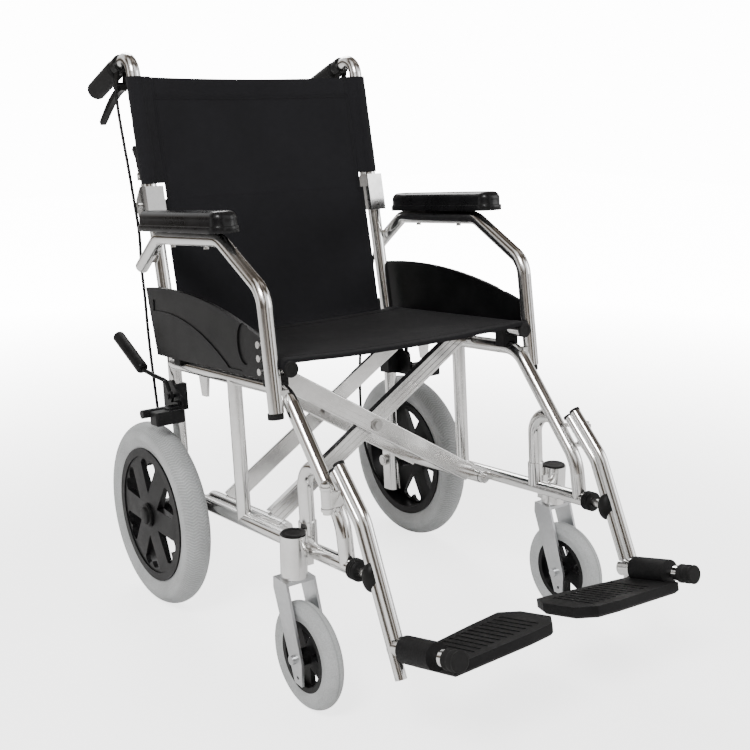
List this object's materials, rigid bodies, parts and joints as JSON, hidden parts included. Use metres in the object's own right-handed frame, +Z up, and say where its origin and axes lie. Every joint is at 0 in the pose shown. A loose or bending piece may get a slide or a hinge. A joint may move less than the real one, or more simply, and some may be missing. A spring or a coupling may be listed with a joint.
{
  "type": "manual wheelchair",
  "caption": "Folding attendant wheelchair with tubular frame, fabric sling seat and back, swing-away footrests, casters, parking brakes and hand brakes.",
  "frame": {"origin": "middle of the base of the overall box, on the ground", "axes": "+Z up, the chair faces -Y, the user's left is +X"},
  "size_m": [0.592, 0.9938, 0.89],
  "materials": {
    "frame_silver": "clear-coated polished aluminium tube",
    "bracket_silver": "polished aluminium channel",
    "fork_silver": "silver painted steel",
    "bolt_steel": "bright zinc plated fasteners",
    "pin_chrome": "chromed pin with a black bumper",
    "pad_black": "self-skinned polyurethane foam, semi-gloss",
    "panel_black": "injection-moulded plastic, fine texture",
    "moulding_black": "moulded nylon",
    "lever_black": "moulded nylon and black coated steel",
    "bracket_black": "black powder-coated steel",
    "grip_rubber": "ribbed rubber grip",
    "cable_black": "black cable sheath",
    "rim_black": "moulded nylon wheel",
    "tyre_grey": "solid grey polyurethane",
    "plate_black": "grained moulded plastic",
    "sling_fabric": "black woven nylon sling"
  },
  "bodies": {
    "frame_left": {"side_frame_left": "frame_silver", "arm_tube_left": "frame_silver", "arm_pad_left": "pad_black", "side_panel_left": "panel_black", "panel_fasteners_left": "bolt_steel", "seat_saddles_left": "moulding_black", "rear_axle_left": "bolt_steel", "fold_bracket_left": "bracket_silver", "brake_cable_lower_left": "cable_black", "park_brake_bracket_left": "bracket_black", "back_fabric_lower": "sling_fabric"},
    "back_left": {"back_cane_left": "frame_silver", "push_grip_left": "grip_rubber", "brake_clamp_left": "moulding_black", "brake_cable_upper_left": "cable_black", "back_fabric_upper": "sling_fabric"},
    "fold_lever_left": {"fold_lever_left": "moulding_black"},
    "brake_lever_left": {"brake_lever_left": "lever_black"},
    "rear_wheel_left": {"rear_rim_left": "rim_black", "rear_tyre_left": "tyre_grey"},
    "caster_fork_left": {"caster_fork_left": "fork_silver"},
    "caster_wheel_left": {"caster_rim_left": "rim_black", "caster_tyre_left": "tyre_grey"},
    "park_lever_left": {"park_brake_lever_left": "lever_black"},
    "park_shoe_left": {"park_brake_shoe_left": "bracket_black"},
    "footrest_left": {"footrest_hanger_left": "frame_silver", "footplate_pin_left": "pin_chrome"},
    "footplate_left": {"footplate_left": "plate_black"},
    "footrest_latch_left": {"footrest_latch_left": "moulding_black"},
    "frame_right": {"side_frame_right": "frame_silver", "arm_tube_right": "frame_silver", "arm_pad_right": "pad_black", "side_panel_right": "panel_black", "panel_fasteners_right": "bolt_steel", "seat_saddles_right": "moulding_black", "rear_axle_right": "bolt_steel", "fold_bracket_right": "bracket_silver", "brake_cable_lower_right": "cable_black", "park_brake_bracket_right": "bracket_black"},
    "back_right": {"back_cane_right": "frame_silver", "push_grip_right": "grip_rubber", "brake_clamp_right": "moulding_black", "brake_cable_upper_right": "cable_black"},
    "fold_lever_right": {"fold_lever_right": "moulding_black"},
    "brake_lever_right": {"brake_lever_right": "lever_black"},
    "rear_wheel_right": {"rear_rim_right": "rim_black", "rear_tyre_right": "tyre_grey"},
    "caster_fork_right": {"caster_fork_right": "fork_silver"},
    "caster_wheel_right": {"caster_rim_right": "rim_black", "caster_tyre_right": "tyre_grey"},
    "park_lever_right": {"park_brake_lever_right": "lever_black"},
    "park_shoe_right": {"park_brake_shoe_right": "bracket_black"},
    "footrest_right": {"footrest_hanger_right": "frame_silver", "footplate_pin_right": "pin_chrome"},
    "footplate_right": {"footplate_right": "plate_black"},
    "footrest_latch_right": {"footrest_latch_right": "moulding_black"},
    "cross_a": {"cross_brace_a": "frame_silver", "cross_brace_bolts": "bolt_steel", "seat_fabric": "sling_fabric"},
    "cross_b": {"cross_brace_b": "frame_silver"}
  },
  "joints": [
    {"name": "fold", "type": "hinge", "parent": "frame_left", "child": "cross_a", "pos_m": [0.193, 0.03598, 0.19546], "axis": [0, 0.9962, -0.0872], "range_deg": [0, 42], "deforming": ["seat_fabric", "back_fabric_upper", "back_fabric_lower"]},
    {"name": "brace_centre", "type": "hinge", "parent": "cross_a", "child": "cross_b", "pos_m": [0, 0.04632, 0.31363], "axis": [0, 0.9962, -0.0872], "range_deg": [-84, 0]},
    {"name": "right_frame_pivot", "type": "hinge", "parent": "cross_b", "child": "frame_right", "pos_m": [-0.193, 0.03598, 0.19546], "axis": [0, 0.9962, -0.0872], "range_deg": [0, 42]},
    {"name": "back_fold_left", "type": "hinge", "parent": "frame_left", "child": "back_left", "pos_m": [0.217, 0.30358, 0.64987], "axis": [-1, 0, 0], "range_deg": [0, 120], "deforming": ["brake_cable_upper_left", "brake_cable_lower_left"]},
    {"name": "fold_lever_left", "type": "hinge", "parent": "back_left", "child": "fold_lever_left", "pos_m": [0.217, 0.31556, 0.69499], "axis": [-1, 0, 0], "range_deg": [0, 18], "stiffness_Nm_per_rad": 0.3, "springref_deg": -5.73},
    {"name": "hand_brake_left", "type": "hinge", "parent": "back_left", "child": "brake_lever_left", "pos_m": [0.217, 0.38871, 0.83638], "axis": [1, 0, 0], "range_deg": [0, 10], "stiffness_Nm_per_rad": 1, "springref_deg": -5.73},
    {"name": "rear_wheel_spin_left", "type": "hinge", "parent": "frame_left", "child": "rear_wheel_left", "pos_m": [0.26, 0.22295, 0.1525], "axis": [1, 0, 0], "continuous": true},
    {"name": "caster_swivel_left", "type": "hinge", "parent": "frame_left", "child": "caster_fork_left", "pos_m": [0.247, -0.17905, 0.1826], "axis": [0, 0, 1], "continuous": true},
    {"name": "caster_spin_left", "type": "hinge", "parent": "caster_fork_left", "child": "caster_wheel_left", "pos_m": [0.247, -0.21305, 0.077], "axis": [1, 0, 0], "continuous": true},
    {"name": "park_lever_left", "type": "hinge", "parent": "frame_left", "child": "park_lever_left", "pos_m": [0.217, 0.20629, 0.35221], "axis": [1, 0, 0], "range_deg": [0, 50]},
    {"name": "park_shoe_left", "type": "hinge", "parent": "frame_left", "child": "park_shoe_left", "pos_m": [0.217, 0.19285, 0.33632], "axis": [1, 0, 0], "range_deg": [0, 4]},
    {"name": "footrest_swing_left", "type": "hinge", "parent": "frame_left", "child": "footrest_left", "pos_m": [0.239, -0.25161, 0.31598], "axis": [0, 0.0872, 0.9962], "range_deg": [0, 90]},
    {"name": "footplate_flip_left", "type": "hinge", "parent": "footrest_left", "child": "footplate_left", "pos_m": [0.212, -0.42116, 0.15883], "axis": [0, 0.9641, -0.2656], "range_deg": [0, 85]},
    {"name": "footrest_latch_left", "type": "hinge", "parent": "frame_left", "child": "footrest_latch_left", "pos_m": [0.217, -0.28081, 0.22317], "axis": [0, 0.9962, -0.0872], "range_deg": [0, 90]},
    {"name": "back_fold_right", "type": "hinge", "parent": "frame_right", "child": "back_right", "pos_m": [-0.217, 0.30358, 0.64987], "axis": [-1, 0, 0], "range_deg": [0, 120], "deforming": ["brake_cable_upper_right", "brake_cable_lower_right"]},
    {"name": "fold_lever_right", "type": "hinge", "parent": "back_right", "child": "fold_lever_right", "pos_m": [-0.217, 0.31556, 0.69499], "axis": [-1, 0, 0], "range_deg": [0, 18], "stiffness_Nm_per_rad": 0.3, "springref_deg": -5.73},
    {"name": "hand_brake_right", "type": "hinge", "parent": "back_right", "child": "brake_lever_right", "pos_m": [-0.217, 0.38871, 0.83638], "axis": [1, 0, 0], "range_deg": [0, 10], "stiffness_Nm_per_rad": 1, "springref_deg": -5.73},
    {"name": "rear_wheel_spin_right", "type": "hinge", "parent": "frame_right", "child": "rear_wheel_right", "pos_m": [-0.26, 0.22295, 0.1525], "axis": [1, 0, 0], "continuous": true},
    {"name": "caster_swivel_right", "type": "hinge", "parent": "frame_right", "child": "caster_fork_right", "pos_m": [-0.247, -0.17905, 0.1826], "axis": [0, 0, 1], "continuous": true},
    {"name": "caster_spin_right", "type": "hinge", "parent": "caster_fork_right", "child": "caster_wheel_right", "pos_m": [-0.247, -0.21305, 0.077], "axis": [1, 0, 0], "continuous": true},
    {"name": "park_lever_right", "type": "hinge", "parent": "frame_right", "child": "park_lever_right", "pos_m": [-0.217, 0.20629, 0.35221], "axis": [1, 0, 0], "range_deg": [0, 50]},
    {"name": "park_shoe_right", "type": "hinge", "parent": "frame_right", "child": "park_shoe_right", "pos_m": [-0.217, 0.19285, 0.33632], "axis": [1, 0, 0], "range_deg": [0, 4]},
    {"name": "footrest_swing_right", "type": "hinge", "parent": "frame_right", "child": "footrest_right", "pos_m": [-0.239, -0.25161, 0.31598], "axis": [0, -0.0872, -0.9962], "range_deg": [0, 90]},
    {"name": "footplate_flip_right", "type": "hinge", "parent": "footrest_right", "child": "footplate_right", "pos_m": [-0.212, -0.42116, 0.15883], "axis": [0, -0.9641, 0.2656], "range_deg": [0, 85]},
    {"name": "footrest_latch_right", "type": "hinge", "parent": "frame_right", "child": "footrest_latch_right", "pos_m": [-0.217, -0.28081, 0.22317], "axis": [0, 0.9962, -0.0872], "range_deg": [0, 90]}
  ],
  "couplings": [
    {"joint": "brace_centre", "follows": "fold", "ratio": -2},
    {"joint": "right_frame_pivot", "follows": "fold", "ratio": 1},
    {"joint": "park_shoe_left", "follows": "park_lever_left", "ratio": 0.08},
    {"joint": "footplate_flip_left", "follows": "fold", "ratio": 2.0233},
    {"joint": "park_shoe_right", "follows": "park_lever_right", "ratio": 0.08},
    {"joint": "footplate_flip_right", "follows": "fold", "ratio": 2.0233},
    {"joint": "back_fold_right", "follows": "back_fold_left", "ratio": 1}
  ]
}
